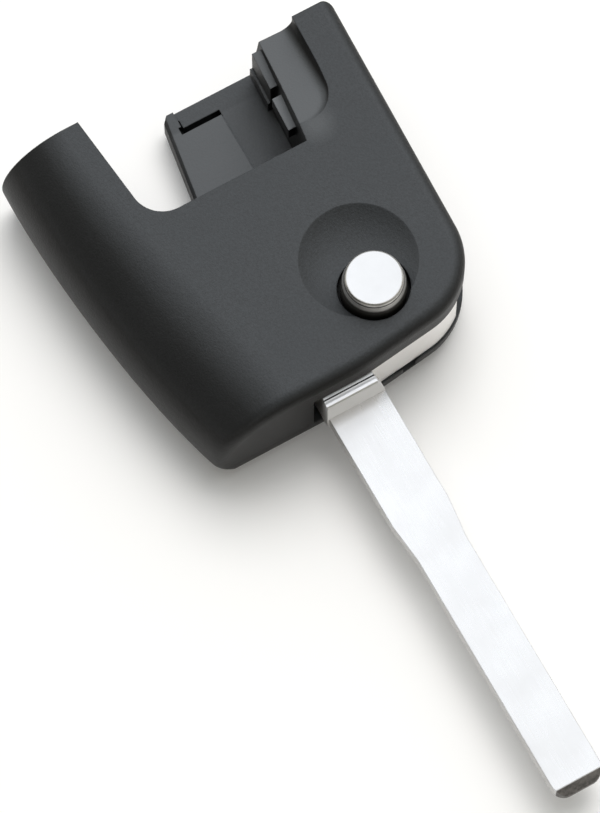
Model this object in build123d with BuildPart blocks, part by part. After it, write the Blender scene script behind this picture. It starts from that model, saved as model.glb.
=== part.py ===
from build123d import *
from math import cos, radians, sin, tan
import os

os.makedirs("parts", exist_ok=True)

# All sizes are in millimetres. The head lies on its back: +Z is up, the blade points
# to -Y when it is flipped out, and the origin is on the back face under the flip axis.

# Outline of the head
head_thickness = 14.0
front_wall_y = -7.2
front_bend_x = -5.0
front_bend_radius = 30.0
front_corner_y = -5.3
front_corner_radius = 8.5
right_side_x = 10.85
right_side_flare = 1.2
right_arm_end_y = 30.9
right_arm_corner_radius = 1.2
left_arm_end_y = 31.4
edge_radius = 1.5
lower_edge_radius = 2.6

# Rounded left side: where it is widest, and how far its upper and lower curves reach in
widest_z = 6.0
under_curve_reach = 4.5
arm_side_x = -27.95
arm_curve_reach = 8.0
shoulder_y = 18.5
shoulder_side_x = -27.5
shoulder_curve_reach = 9.5
waist_y = 5.8
waist_side_x = -25.9
waist_curve_reach = 11.0
heel_y = -2.0
heel_side_x = -24.3
heel_curve_reach = 11.0
toe_side_x = -22.8
toe_curve_reach = 10.5

# Bay at the back end where the remote half slides in
bay_wall_y = 17.7
end_step_x = -12.0
notch_foot_x = -16.9
notch_mouth_x = -18.4
notch_radius = 3.6
notch_inner_radius = 1.2
step_foot_x = 1.8
step_mouth_x = 2.5
step_lean_start_z = 5.8
step_lean_x = 3.6

# Ledges on the step wall
ledge_top_z = 11.2
ledge_thickness = 2.2
long_ledge_thickness = 4.4
short_ledge_reach = 0.75
long_ledge_reach = 0.4
short_ledge_start_y = 20.6
short_ledge_length = 4.0
ledge_gap = 1.1
foot_ledge_top_z = 7.2
foot_ledge_reach = 0.7
ledge_end_gap = 0.7

# Tongue of the lower half
tongue_root_x = -10.7
tongue_shoulder_x = -8.8
tongue_shoulder_y = 30.3
tongue_tip_x = -8.2
tongue_plate_rise = 0.7
tongue_plate_edge_x = -2.9
tongue_underside_z = 1.2
tongue_edge_chamfer = 0.35
latch_slot_length = 5.0
latch_slot_width = 0.85
latch_slot_y = 28.55
latch_slot_end_x = -7.75
latch_slot_floor_z = 1.9
latch_nick_x = -7.4
latch_nick_length = 1.4
latch_nick_width = 0.25

# Scoop beside the right arm
scoop_depth = 2.5
scoop_start_y = 18.3
scoop_middle_x = 5.5
scoop_wall_start_y = 18.8
scoop_crease_x = 7.6
scoop_foot_x = 6.9
scoop_turn_radius = 4.0
scoop_tilt = 4.0
scoop_wall_radius = 1.5

# Thumb dish around the button
dish_radius = 6.4
dish_depth = 1.5
dish_centre_y = 3.3

# Levels inside
parting_z = 3.6
roof_z = 10.4
blade_slot_top_z = 7.9
recess_ceiling_z = 11.5
shell_wall = 1.6
shell_gap = 0.1

# Hub and its bearings
hub_radius = 6.9
hub_play = 0.05
hub_side_gap = 0.3
collar_radius = 5.65
collar_bore_radius = 4.9
collar_top_z = 11.2
hub_plate_bottom_z = 6.9
hub_plate_top_z = 8.4
bush_flange_thickness = 0.2
bush_wall = 0.45
bush_flange_width = 0.6
bush_fit = 0.02
lower_bush_height = 1.0
bearing_ring_wall = 0.42
bearing_ring_bore = 3.9
upper_bush_top_z = 11.3

# Fin of the hub, which closes the slot round the front corner
fin_radius = 9.7
fin_inset = 0.2
fin_end_angle = -28.0

# Neck of the hub, which holds the blade
neck_left_x = -10.2
neck_right_x = -3.15
neck_front_y = -8.3
neck_back_y = -1.6
neck_corner_radius = 2.6
neck_top_fall = 0.55
neck_side_slope = 1.05
neck_groove_y = -7.7
neck_groove_width = 0.25
neck_groove_depth = 0.35
slot_end_gap = 1.05

# Blade
blade_centre_x = -6.6
blade_bottom_z = 3.9
blade_thickness = 1.9
blade_wide = 6.75
blade_narrow = 5.75
blade_taper_start_y = -22.0
blade_taper_end_y = -26.6
blade_taper_radius = 6.0
blade_tip_y = -55.95
blade_tip_corner = 1.5
blade_tip_bevel = 0.85
blade_tip_bevel_height = 1.4
tang_width = 4.9
tang_end_y = -4.0
tang_fit = 0.05
blade_pin_radius = 0.8
blade_pin_wall = 0.3
blade_pin_slit = 0.25
blade_pin_y = -6.2
blade_pin_top_z = 9.4

# Stop that ends the swing after half a turn
stop_pin_radius = 0.5
stop_pin_circle = 5.95
stop_pin_angle = 135.0
stop_pin_top_z = 6.2
stop_track_gap = 0.15
stop_track_bottom_z = 2.5
swing_angle = 180.0

# Button
button_top_z = 16.4
button_top_radius = 3.1
button_radius = 3.5
button_flare_height = 1.8
button_skirt_bottom_z = 12.4
button_wall = 0.6
button_edge_radius = 0.35
button_bore_radius = 3.9
plunger_head_bottom_z = 11.35
plunger_stem_radius = 2.7
plunger_stem_bottom_z = 7.6
plunger_bore_radius = 1.4
plunger_bore_depth = 2.6
plunger_boss_top_z = 15.7
plunger_fit = 0.1
lock_plate_thickness = 0.6
lock_ear_reach = 5.3
lock_ear_width = 2.2
lock_ear_gap = 0.15
lock_plate_radius = 4.3
plunger_head_radius = 3.5
plunger_clip_radius = 3.3
plunger_clip_thickness = 0.4
plunger_clip_groove = 0.35
plunger_clip_opening = 70.0

# Springs and what holds them
anchor_pocket_floor_z = 1.8
anchor_thickness = 1.2
anchor_fit = 0.03
anchor_key_width = 1.2
anchor_key_reach = 1.0
anchor_post_radius = 1.2
anchor_post_top_z = 6.4
flip_spring_radius = 3.45
flip_spring_wire = 0.7
flip_spring_turns = 3.75
flip_spring_leg = 1.1
flip_spring_leg_inset = 6.0
button_spring_radius = 1.9
button_spring_wire = 0.36
button_spring_turns = 5.0
spring_clearance = 0.05

# Screws that hold the halves together
screw_places = [(-15.6, -2.6), (-22.6, 24.6), (-2.6, 13.2)]
screw_radius = 0.95
screw_head_radius = 1.7
screw_head_height = 1.1
screw_seat_z = 1.4
screw_tip_gap = 0.4
screw_top_z = 9.2
screw_socket_width = 1.5
screw_socket_depth = 0.6
screw_boss_radius = 2.3
screw_fit = 0.05

# Chip that the car reads, in its holder
chip_bay_front_left_x = -21.6
chip_bay_back_left_x = -24.2
chip_bay_right_x = -12.9
chip_bay_front_y = -4.9
chip_bay_back_y = 15.8
chip_bay_ceiling_z = 10.2
chip_bay_radius = 2.5
bay_draft = 18.0
arm_bay_left_x = -26.0
arm_bay_right_x = -20.2
arm_bay_start_y = 19.6
arm_bay_end_y = 29.6
arm_bay_ceiling_z = 9.8
floor_bay_z = 1.6
lip_width = 0.9
lip_height = 0.9
chip_length = 12.0
chip_width = 5.0
chip_height = 3.0
chip_corner_cut = 1.0
chip_centre_x = -17.55
chip_centre_y = 6.85
chip_holder_wall = 0.9
chip_holder_height = 3.4
chip_fit = 0.1
chip_pad_thickness = 1.4
chip_pad_margin = 1.0

# Rubber pad that keeps the folded blade from rattling
buffer_length = 2.4
buffer_width = 4.0
buffer_end_gap = 1.3
buffer_seat_depth = 0.8
buffer_gap = 0.3

# Places that follow from the sizes above
quarter_turn = 90.0
slot_wall_x = -neck_right_x - hub_side_gap
slot_end_x = neck_left_x - slot_end_gap
slot_back_y = neck_back_y + hub_side_gap
neck_swing_y = -neck_front_y + hub_side_gap
wide_slot_x = -blade_centre_x - blade_wide / 2 - hub_side_gap
narrow_slot_x = -blade_centre_x - blade_narrow / 2 - hub_side_gap
buffer_start_y = right_arm_end_y - buffer_end_gap - buffer_length
hub_bottom_z = parting_z + bush_flange_thickness + hub_play
hub_top_z = roof_z - bush_flange_thickness - hub_play
beyond = 6.0
upright_limit = 0.01
anchor_top_z = anchor_pocket_floor_z + anchor_thickness
flip_spring_start_z = anchor_top_z + spring_clearance + flip_spring_wire / 2
flip_spring_rise = hub_plate_bottom_z - spring_clearance - flip_spring_wire / 2 - flip_spring_start_z
spring_foot_angle = radians(flip_spring_leg_inset)
spring_top_angle = radians(flip_spring_turns * 360 - flip_spring_leg_inset)
spring_foot_place = (
    flip_spring_radius * cos(spring_foot_angle),
    flip_spring_radius * sin(spring_foot_angle),
)
spring_top_place = (
    flip_spring_radius * cos(spring_top_angle),
    flip_spring_radius * sin(spring_top_angle),
)
button_spring_start_z = anchor_top_z + button_spring_wire / 2
button_spring_rise = plunger_stem_bottom_z - button_spring_wire / 2 - button_spring_start_z
right_arm_x = right_side_x + right_side_flare
lower_bush_bore = bearing_ring_bore + bearing_ring_wall
lower_bush_radius = lower_bush_bore + bush_wall
hub_bore_radius = lower_bush_radius + bush_fit
upper_bush_bore = collar_radius + bush_fit
upper_bush_radius = upper_bush_bore + bush_wall
lock_plate_bottom_z = plunger_head_bottom_z - lock_plate_thickness
plunger_clip_bottom_z = lock_plate_bottom_z - plunger_clip_thickness
screw_shaft_gap_radius = screw_radius + screw_fit


def side_section(station_y, side_x, curve_reach):
    """Section across the head with its rounded left side, open-ended on the right."""
    with BuildSketch(Plane.XZ.offset(-station_y)) as section:
        with BuildLine():
            EllipticalCenterArc(
                (side_x + curve_reach, widest_z),
                curve_reach,
                head_thickness - widest_z,
                quarter_turn,
                arc_size=quarter_turn,
            )
            EllipticalCenterArc(
                (side_x + under_curve_reach, widest_z),
                under_curve_reach,
                widest_z,
                2 * quarter_turn,
                arc_size=quarter_turn,
            )
            Polyline(
                (side_x + under_curve_reach, 0),
                (right_arm_x + beyond, 0),
                (right_arm_x + beyond, head_thickness),
                (side_x + curve_reach, head_thickness),
            )
        make_face()
    return section.sketch


def head_outline(arm_corner_radius):
    """Plan of the head, left open beyond its rounded side."""
    with BuildSketch() as outline:
        with BuildLine():
            FilletPolyline(
                (arm_side_x - beyond, left_arm_end_y),
                (arm_side_x - beyond, front_wall_y),
                (front_bend_x, front_wall_y),
                (right_side_x, front_corner_y),
                (right_arm_x, right_arm_end_y),
                (end_step_x, right_arm_end_y),
                (end_step_x, left_arm_end_y),
                radius=[0, 0, front_bend_radius, front_corner_radius, arm_corner_radius, 0, 0],
                close=True,
            )
        make_face()
    return outline.sketch


def step_wall_x(wall_y):
    """Foot of the step wall, which opens out towards the mouth of the bay."""
    opening = (step_mouth_x - step_foot_x) / (right_arm_end_y - bay_wall_y)
    return step_foot_x + opening * (wall_y - bay_wall_y)


def notch_left_points():
    """Corners of the left arm's inner side, from beyond the mouth down to the bay wall."""
    return [
        (notch_mouth_x, left_arm_end_y + beyond),
        (notch_mouth_x, left_arm_end_y),
        (notch_foot_x, bay_wall_y),
    ]


def chip_bay_outline(gap):
    """Plan of the hollow for the chip, drawn in by a gap on every side."""
    with BuildSketch() as outline:
        with BuildLine():
            FilletPolyline(
                (chip_bay_front_left_x, chip_bay_front_y),
                (chip_bay_right_x, chip_bay_front_y),
                (chip_bay_right_x, chip_bay_back_y),
                (chip_bay_back_left_x, chip_bay_back_y),
                radius=chip_bay_radius,
                close=True,
            )
        make_face()
        if gap > 0:
            offset(amount=-gap, mode=Mode.REPLACE)
    return outline.sketch


def arm_bay_outline(gap):
    """Plan of the hollow in the left arm, drawn in by a gap on every side."""
    with BuildSketch() as outline:
        with Locations(((arm_bay_left_x + arm_bay_right_x) / 2, (arm_bay_start_y + arm_bay_end_y) / 2)):
            RectangleRounded(
                arm_bay_right_x - arm_bay_left_x - 2 * gap,
                arm_bay_end_y - arm_bay_start_y - 2 * gap,
                chip_bay_radius - gap,
            )
    return outline.sketch


# Outer form of both halves together
with BuildPart() as head_form:
    for station in (
        (left_arm_end_y, arm_side_x, arm_curve_reach),
        (shoulder_y, shoulder_side_x, shoulder_curve_reach),
        (waist_y, waist_side_x, waist_curve_reach),
        (heel_y, heel_side_x, heel_curve_reach),
        (front_wall_y, toe_side_x, toe_curve_reach),
    ):
        add(side_section(*station))
    loft()
    with BuildSketch() as head_plan:
        add(head_outline(0))
    extrude(amount=head_thickness, mode=Mode.INTERSECT)
    walls = head_form.faces().filter_by(
        lambda face: abs(face.normal_at().Z) < upright_limit and face.center().Y < shoulder_y
    )
    fillet(walls.edges().filter_by(Axis.Z, reverse=True), edge_radius)
    with BuildSketch() as rounded_arm_plan:
        add(head_outline(right_arm_corner_radius))
    extrude(amount=head_thickness, mode=Mode.INTERSECT)

# Fuller rounding under the front and the right side
with BuildPart() as keel_form:
    with BuildSketch() as keel_plan:
        add(head_outline(0))
    extrude(amount=head_thickness)
    keel_edges = keel_form.edges().group_by(Axis.Z)[0].filter_by(
        lambda edge: edge.center().X > arm_side_x and edge.center().Y < shoulder_y
    )
    fillet(keel_edges, lower_edge_radius)

# Scoop that lets a thumb reach in beside the right arm
scoop_fall = scoop_depth / (right_arm_end_y - scoop_start_y)
with BuildPart() as scoop_form:
    with BuildSketch(Plane.XY.offset(blade_slot_top_z)) as scoop_plan:
        with BuildLine():
            FilletPolyline(
                (step_foot_x - beyond, left_arm_end_y + beyond),
                (step_foot_x - beyond, scoop_wall_start_y),
                (scoop_foot_x, scoop_wall_start_y),
                (scoop_crease_x, left_arm_end_y + beyond),
                radius=[0, 0, scoop_turn_radius, 0],
                close=True,
            )
        make_face()
    extrude(amount=head_thickness)
    split(
        bisect_by=Plane(
            origin=(scoop_middle_x, scoop_start_y, head_thickness),
            z_dir=(sin(radians(scoop_tilt)), scoop_fall, 1),
        ),
        keep=Keep.TOP,
    )
    scoop_floor = scoop_form.faces().sort_by(Axis.Z)[0]
    fillet(
        scoop_floor.edges().filter_by(
            lambda edge: edge.center().X > step_lean_x and edge.center().Y < left_arm_end_y
        ),
        scoop_wall_radius,
    )

# Upper half of the shell
dish_ball_radius = (dish_radius**2 + dish_depth**2) / (2 * dish_depth)
with BuildPart() as upper_shell:
    add(head_form.part)
    split(bisect_by=Plane.XY.offset(parting_z), keep=Keep.TOP)
    with BuildSketch(Plane.XY.offset(parting_z)) as bay_plan:
        with BuildLine():
            FilletPolyline(
                *notch_left_points(),
                (step_foot_x, bay_wall_y),
                (step_mouth_x, right_arm_end_y),
                (step_mouth_x, left_arm_end_y + beyond),
                radius=[0, 0, notch_radius, 0, 0, 0],
                close=True,
            )
        make_face()
    extrude(amount=head_thickness, mode=Mode.SUBTRACT)
    with BuildSketch(Plane.XZ.offset(-bay_wall_y)) as step_foot_section:
        with BuildLine():
            Polyline(
                (0, step_lean_start_z),
                (step_foot_x, step_lean_start_z),
                (step_foot_x, head_thickness),
                (0, head_thickness),
                close=True,
            )
        make_face()
    with BuildSketch(Plane.XZ.offset(-right_arm_end_y)) as step_mouth_section:
        with BuildLine():
            Polyline(
                (0, step_lean_start_z),
                (step_mouth_x, step_lean_start_z),
                (step_lean_x, head_thickness),
                (0, head_thickness),
                close=True,
            )
        make_face()
    loft(ruled=True, mode=Mode.SUBTRACT)
    add(scoop_form.part, mode=Mode.SUBTRACT)
    short_ledge_end_y = short_ledge_start_y + short_ledge_length
    long_ledge_start_y = short_ledge_end_y + ledge_gap
    long_ledge_end_y = right_arm_end_y - ledge_end_gap
    for ledge_start, ledge_end, ledge_z, thickness, reach in (
        (short_ledge_start_y, short_ledge_end_y, ledge_top_z, ledge_thickness, short_ledge_reach),
        (long_ledge_start_y, long_ledge_end_y, ledge_top_z, long_ledge_thickness, long_ledge_reach),
        (long_ledge_start_y, long_ledge_end_y, foot_ledge_top_z, ledge_thickness, foot_ledge_reach),
    ):
        with BuildSketch(Plane.XY.offset(ledge_z)) as ledge_plan:
            with BuildLine():
                Polyline(
                    (step_wall_x(ledge_start) - reach, ledge_start),
                    (step_wall_x(ledge_end) - reach, ledge_end),
                    (step_lean_x, ledge_end),
                    (step_lean_x, ledge_start),
                    close=True,
                )
            make_face()
        extrude(amount=-thickness)
    with Locations((0, dish_centre_y, head_thickness - dish_depth + dish_ball_radius)):
        Sphere(dish_ball_radius, mode=Mode.SUBTRACT)
    with BuildSketch(Plane.XY.offset(roof_z)) as button_bore:
        Circle(button_bore_radius)
    extrude(amount=head_thickness, mode=Mode.SUBTRACT)
    with BuildSketch(Plane.XY.offset(roof_z)) as collar_recess:
        Circle(upper_bush_radius)
    extrude(amount=recess_ceiling_z - roof_z, mode=Mode.SUBTRACT)
    with BuildSketch(Plane.XY.offset(parting_z)) as hub_slot:
        Circle(fin_radius + hub_side_gap)
        with Locations((slot_end_x, slot_back_y)):
            Rectangle(head_thickness * 3, head_thickness * 2, align=(Align.MIN, Align.MAX))
        with Locations((slot_wall_x, slot_back_y)):
            Rectangle(head_thickness * 2, neck_swing_y - slot_back_y, align=(Align.MIN, Align.MIN))
    extrude(amount=roof_z - parting_z, mode=Mode.SUBTRACT)
    with BuildSketch(Plane.XY.offset(parting_z)) as blade_slot:
        with BuildLine():
            Polyline(
                (right_arm_x + beyond, slot_back_y),
                (wide_slot_x, slot_back_y),
                (wide_slot_x, -blade_taper_start_y),
                (narrow_slot_x, -blade_taper_end_y),
                (narrow_slot_x, left_arm_end_y + beyond),
                (right_arm_x + beyond, left_arm_end_y + beyond),
                close=True,
            )
        make_face()
    extrude(amount=blade_slot_top_z - parting_z, mode=Mode.SUBTRACT)
    with BuildSketch(Plane.XY.offset(parting_z)) as chip_bay_plan:
        add(chip_bay_outline(0))
    extrude(amount=chip_bay_ceiling_z - parting_z, taper=bay_draft, mode=Mode.SUBTRACT)
    with BuildSketch(Plane.XY.offset(parting_z)) as arm_bay_plan:
        add(arm_bay_outline(0))
    extrude(amount=arm_bay_ceiling_z - parting_z, taper=bay_draft, mode=Mode.SUBTRACT)
    with BuildSketch(Plane.XY.offset(parting_z)) as boss_plan:
        with Locations(*screw_places):
            Circle(screw_boss_radius)
    extrude(amount=screw_top_z - parting_z + shell_wall)
    with BuildSketch(Plane.XY.offset(parting_z)) as screw_hole_plan:
        with Locations(*screw_places):
            Circle(screw_radius)
    extrude(amount=screw_top_z - parting_z, mode=Mode.SUBTRACT)
upper_shell.part.label = "upper_shell"
export_step(upper_shell.part, "parts/upper_shell.step")

# Lower half of the shell, with the tongue that the remote half slides over
with BuildPart() as lower_shell:
    add(head_form.part)
    add(keel_form.part, mode=Mode.INTERSECT)
    split(bisect_by=Plane.XY.offset(parting_z), keep=Keep.BOTTOM)
    with BuildSketch() as notch_plan:
        with BuildLine():
            FilletPolyline(
                *notch_left_points(),
                (tongue_root_x, bay_wall_y),
                (tongue_shoulder_x, tongue_shoulder_y),
                (tongue_tip_x, right_arm_end_y),
                (tongue_tip_x, left_arm_end_y + beyond),
                radius=[0, 0, notch_radius, notch_inner_radius, 0, 0, 0],
                close=True,
            )
        make_face()
    extrude(amount=parting_z, mode=Mode.SUBTRACT)
    with BuildSketch() as tongue_underside:
        with Locations((tongue_root_x - beyond, bay_wall_y)):
            Rectangle(step_foot_x - tongue_root_x + beyond, left_arm_end_y, align=(Align.MIN, Align.MIN))
        with Locations((arm_side_x, bay_wall_y)):
            Rectangle(
                notch_foot_x - arm_side_x + notch_radius,
                left_arm_end_y,
                align=(Align.MIN, Align.MIN),
                mode=Mode.SUBTRACT,
            )
    extrude(amount=tongue_underside_z, mode=Mode.SUBTRACT)
    with BuildSketch(Plane.XY.offset(parting_z)) as tongue_plate:
        with BuildLine():
            Polyline(
                (tongue_root_x, bay_wall_y + shell_gap),
                (tongue_shoulder_x, tongue_shoulder_y),
                (tongue_tip_x, right_arm_end_y),
                (latch_nick_x, right_arm_end_y),
                (latch_nick_x, latch_slot_y),
                (tongue_plate_edge_x, latch_slot_y),
                (tongue_plate_edge_x, bay_wall_y + shell_gap),
                close=True,
            )
        make_face()
    extrude(amount=tongue_plate_rise)
    tongue_edges = lower_shell.edges().group_by(Axis.Z)[-1].filter_by(
        lambda edge: edge.center().X < tongue_shoulder_x + 1 and edge.length > 2 * tongue_plate_rise
    )
    chamfer(tongue_edges.sort_by(Axis.X)[0], tongue_edge_chamfer)
    with BuildSketch(Plane.XY.offset(latch_slot_floor_z)) as latch_slot:
        with Locations((latch_slot_end_x, latch_slot_y)):
            Rectangle(latch_slot_length, latch_slot_width, align=(Align.MIN, Align.CENTER))
        with Locations((latch_nick_x, latch_slot_y)):
            Rectangle(latch_nick_width, latch_nick_length, align=(Align.MIN, Align.MIN))
    extrude(amount=head_thickness, mode=Mode.SUBTRACT)
    with BuildSketch(Plane.XY.offset(parting_z)) as lip_plan:
        add(chip_bay_outline(shell_gap))
        add(arm_bay_outline(shell_gap))
    extrude(amount=lip_height, taper=bay_draft)
    with BuildSketch(Plane.XY.offset(floor_bay_z)) as floor_bay_plan:
        add(chip_bay_outline(lip_width + shell_gap))
        add(arm_bay_outline(lip_width + shell_gap))
    extrude(amount=head_thickness, mode=Mode.SUBTRACT)
    with BuildSketch() as boss_foot_plan:
        with Locations(*screw_places):
            Circle(screw_boss_radius)
    extrude(amount=parting_z)
    with BuildSketch(Plane.XY.offset(parting_z)) as boss_clearance:
        with Locations(*screw_places):
            Circle(screw_boss_radius + shell_gap)
    extrude(amount=head_thickness, mode=Mode.SUBTRACT)
    with BuildSketch() as shaft_holes:
        with Locations(*screw_places):
            Circle(screw_shaft_gap_radius)
    extrude(amount=head_thickness, mode=Mode.SUBTRACT)
    with BuildSketch() as head_holes:
        with Locations(*screw_places):
            Circle(screw_head_radius + shell_gap)
    extrude(amount=screw_seat_z, mode=Mode.SUBTRACT)
    with BuildSketch(Plane.XY.offset(parting_z)) as bearing_ring:
        Circle(lower_bush_bore)
    extrude(amount=lower_bush_height)
    with BuildSketch(Plane.XY.offset(anchor_pocket_floor_z)) as anchor_pocket:
        Circle(bearing_ring_bore)
        Rectangle(2 * (bearing_ring_bore + anchor_key_reach), anchor_key_width)
    extrude(amount=head_thickness, mode=Mode.SUBTRACT)
    with BuildLine(Plane.XY.offset(stop_track_bottom_z)) as stop_track_line:
        CenterArc((0, 0), stop_pin_circle, stop_pin_angle, swing_angle)
    with BuildSketch(Plane.XY.offset(stop_track_bottom_z)) as stop_track:
        SlotArc(stop_track_line.edges()[0], 2 * (stop_pin_radius + stop_track_gap))
    extrude(amount=parting_z - stop_track_bottom_z, mode=Mode.SUBTRACT)
    with BuildSketch(Plane.XY.offset(parting_z - buffer_seat_depth)) as buffer_seat:
        with Locations((-blade_centre_x, buffer_start_y)):
            Rectangle(buffer_width, buffer_length, align=(Align.CENTER, Align.MIN))
    extrude(amount=buffer_seat_depth, mode=Mode.SUBTRACT)
lower_shell.part.label = "lower_shell"
export_step(lower_shell.part, "parts/lower_shell.step")

# Screws driven from the back
with BuildPart() as shell_screws:
    with BuildSketch(Plane.XY.offset(screw_seat_z)) as screw_shafts:
        with Locations(*screw_places):
            Circle(screw_radius)
    extrude(amount=screw_top_z - screw_seat_z - screw_tip_gap)
    with BuildSketch(Plane.XY.offset(screw_seat_z)) as screw_heads:
        with Locations(*screw_places):
            Circle(screw_head_radius)
    extrude(amount=-screw_head_height)
    with BuildSketch(Plane.XY.offset(screw_seat_z - screw_head_height)) as screw_sockets:
        with Locations(*screw_places):
            RegularPolygon(screw_socket_width / 2, 6, major_radius=False)
    extrude(amount=screw_socket_depth, mode=Mode.SUBTRACT)
shell_screws.part.label = "shell_screws"
export_step(shell_screws.part, "parts/shell_screws.step")

# Flanged bushes that the hub turns in
with BuildPart() as lower_bush:
    with BuildSketch(Plane.XY.offset(parting_z)) as lower_flange:
        Circle(lower_bush_bore + bush_flange_width)
        Circle(lower_bush_bore, mode=Mode.SUBTRACT)
    extrude(amount=bush_flange_thickness)
    with BuildSketch(Plane.XY.offset(parting_z)) as lower_sleeve:
        Circle(lower_bush_radius)
        Circle(lower_bush_bore, mode=Mode.SUBTRACT)
    extrude(amount=lower_bush_height)
lower_bush.part.label = "lower_bush"
export_step(lower_bush.part, "parts/lower_bush.step")

with BuildPart() as upper_bush:
    with BuildSketch(Plane.XY.offset(roof_z)) as upper_flange:
        Circle(upper_bush_bore + bush_flange_width)
        Circle(upper_bush_bore, mode=Mode.SUBTRACT)
    extrude(amount=-bush_flange_thickness)
    with BuildSketch(Plane.XY.offset(roof_z - bush_flange_thickness)) as upper_sleeve:
        Circle(upper_bush_radius)
        Circle(upper_bush_bore, mode=Mode.SUBTRACT)
    extrude(amount=upper_bush_top_z - roof_z + bush_flange_thickness)
upper_bush.part.label = "upper_bush"
export_step(upper_bush.part, "parts/upper_bush.step")

# Hub with the neck that holds the blade
stop_pin_x = stop_pin_circle * cos(radians(stop_pin_angle))
stop_pin_y = stop_pin_circle * sin(radians(stop_pin_angle))
with BuildPart() as blade_hub:
    with BuildSketch(Plane.XY.offset(hub_bottom_z)) as neck_plan:
        with BuildLine():
            FilletPolyline(
                (neck_right_x, neck_front_y),
                (neck_right_x, neck_back_y),
                (neck_left_x, neck_back_y),
                (neck_left_x, neck_front_y),
                radius=[0, 0, neck_corner_radius, 0],
                close=True,
            )
        make_face()
    extrude(amount=hub_top_z - hub_bottom_z)
    with BuildSketch(Plane.XZ.offset(-neck_back_y)) as neck_slope:
        with BuildLine():
            Polyline(
                (neck_right_x, blade_bottom_z + blade_thickness),
                (neck_right_x, hub_top_z),
                (neck_right_x - neck_side_slope, hub_top_z),
                close=True,
            )
        make_face()
    extrude(amount=neck_back_y - neck_front_y, mode=Mode.SUBTRACT)
    with BuildSketch(Plane.YZ.offset(neck_left_x)) as neck_top_slope:
        with BuildLine():
            Polyline(
                (front_wall_y, hub_top_z),
                (neck_front_y, hub_top_z),
                (neck_front_y, hub_top_z - neck_top_fall),
                close=True,
            )
        make_face()
    extrude(amount=neck_right_x - neck_left_x, mode=Mode.SUBTRACT)
    with BuildSketch(Plane.XY.offset(hub_top_z)) as neck_groove:
        with Locations((neck_left_x, neck_groove_y)):
            Rectangle(neck_right_x - neck_left_x, neck_groove_width, align=(Align.MIN, Align.CENTER))
    extrude(amount=-neck_groove_depth, mode=Mode.SUBTRACT)
    with BuildSketch(Plane.XY.offset(hub_bottom_z)) as fin_plan:
        add(head_outline(0))
        offset(amount=-fin_inset, mode=Mode.REPLACE)
        Circle(fin_radius, mode=Mode.INTERSECT)
        with BuildLine():
            Polyline(
                (neck_right_x - neck_side_slope, 0),
                (neck_right_x - neck_side_slope, -2 * fin_radius),
                (2 * fin_radius, -2 * fin_radius),
                (2 * fin_radius, 2 * fin_radius * tan(radians(fin_end_angle))),
                (0, 0),
                close=True,
            )
        make_face(mode=Mode.INTERSECT)
    extrude(amount=hub_top_z - hub_bottom_z)
    with BuildSketch(Plane.XY.offset(hub_bottom_z)) as hub_plan:
        Circle(hub_radius)
        with BuildSketch(mode=Mode.INTERSECT) as hub_flat:
            add(head_outline(0))
            offset(amount=-fin_inset, mode=Mode.REPLACE)
    extrude(amount=hub_top_z - hub_bottom_z)
    with BuildSketch(Plane.XY.offset(hub_top_z)) as collar_plan:
        Circle(collar_radius)
    extrude(amount=collar_top_z - hub_top_z)
    with BuildSketch(Plane.XY.offset(hub_bottom_z)) as spring_chamber:
        Circle(hub_bore_radius)
    extrude(amount=hub_plate_bottom_z - hub_bottom_z, mode=Mode.SUBTRACT)
    with BuildSketch(Plane.XY.offset(hub_plate_bottom_z)) as stem_bore:
        Circle(plunger_stem_radius + plunger_fit)
        with Locations(spring_top_place):
            Circle(flip_spring_wire / 2 + spring_clearance)
    extrude(amount=hub_plate_top_z - hub_plate_bottom_z, mode=Mode.SUBTRACT)
    with BuildSketch(Plane.XY.offset(hub_plate_top_z)) as collar_bore:
        Circle(collar_bore_radius)
        Rectangle(2 * (lock_ear_reach + lock_ear_gap), lock_ear_width + 2 * lock_ear_gap)
    extrude(amount=collar_top_z - hub_plate_top_z, mode=Mode.SUBTRACT)
    with BuildSketch(Plane.XY.offset(hub_bottom_z)) as tang_slot:
        with Locations((blade_centre_x, neck_front_y)):
            Rectangle(
                tang_width + 2 * tang_fit,
                tang_end_y - neck_front_y + tang_fit,
                align=(Align.CENTER, Align.MIN),
            )
    extrude(amount=blade_bottom_z + blade_thickness - hub_bottom_z, mode=Mode.SUBTRACT)
    with BuildSketch(Plane.XY.offset(hub_bottom_z)) as blade_pin_hole:
        with Locations((blade_centre_x, blade_pin_y)):
            Circle(blade_pin_radius)
    extrude(amount=blade_pin_top_z - hub_bottom_z, mode=Mode.SUBTRACT)
    with BuildSketch(Plane.XY.offset(hub_bottom_z)) as stop_pin_hole:
        with Locations((stop_pin_x, stop_pin_y)):
            Circle(stop_pin_radius)
    extrude(amount=stop_pin_top_z - hub_bottom_z, mode=Mode.SUBTRACT)
blade_hub.part.label = "blade_hub"
export_step(blade_hub.part, "parts/blade_hub.step")

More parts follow.
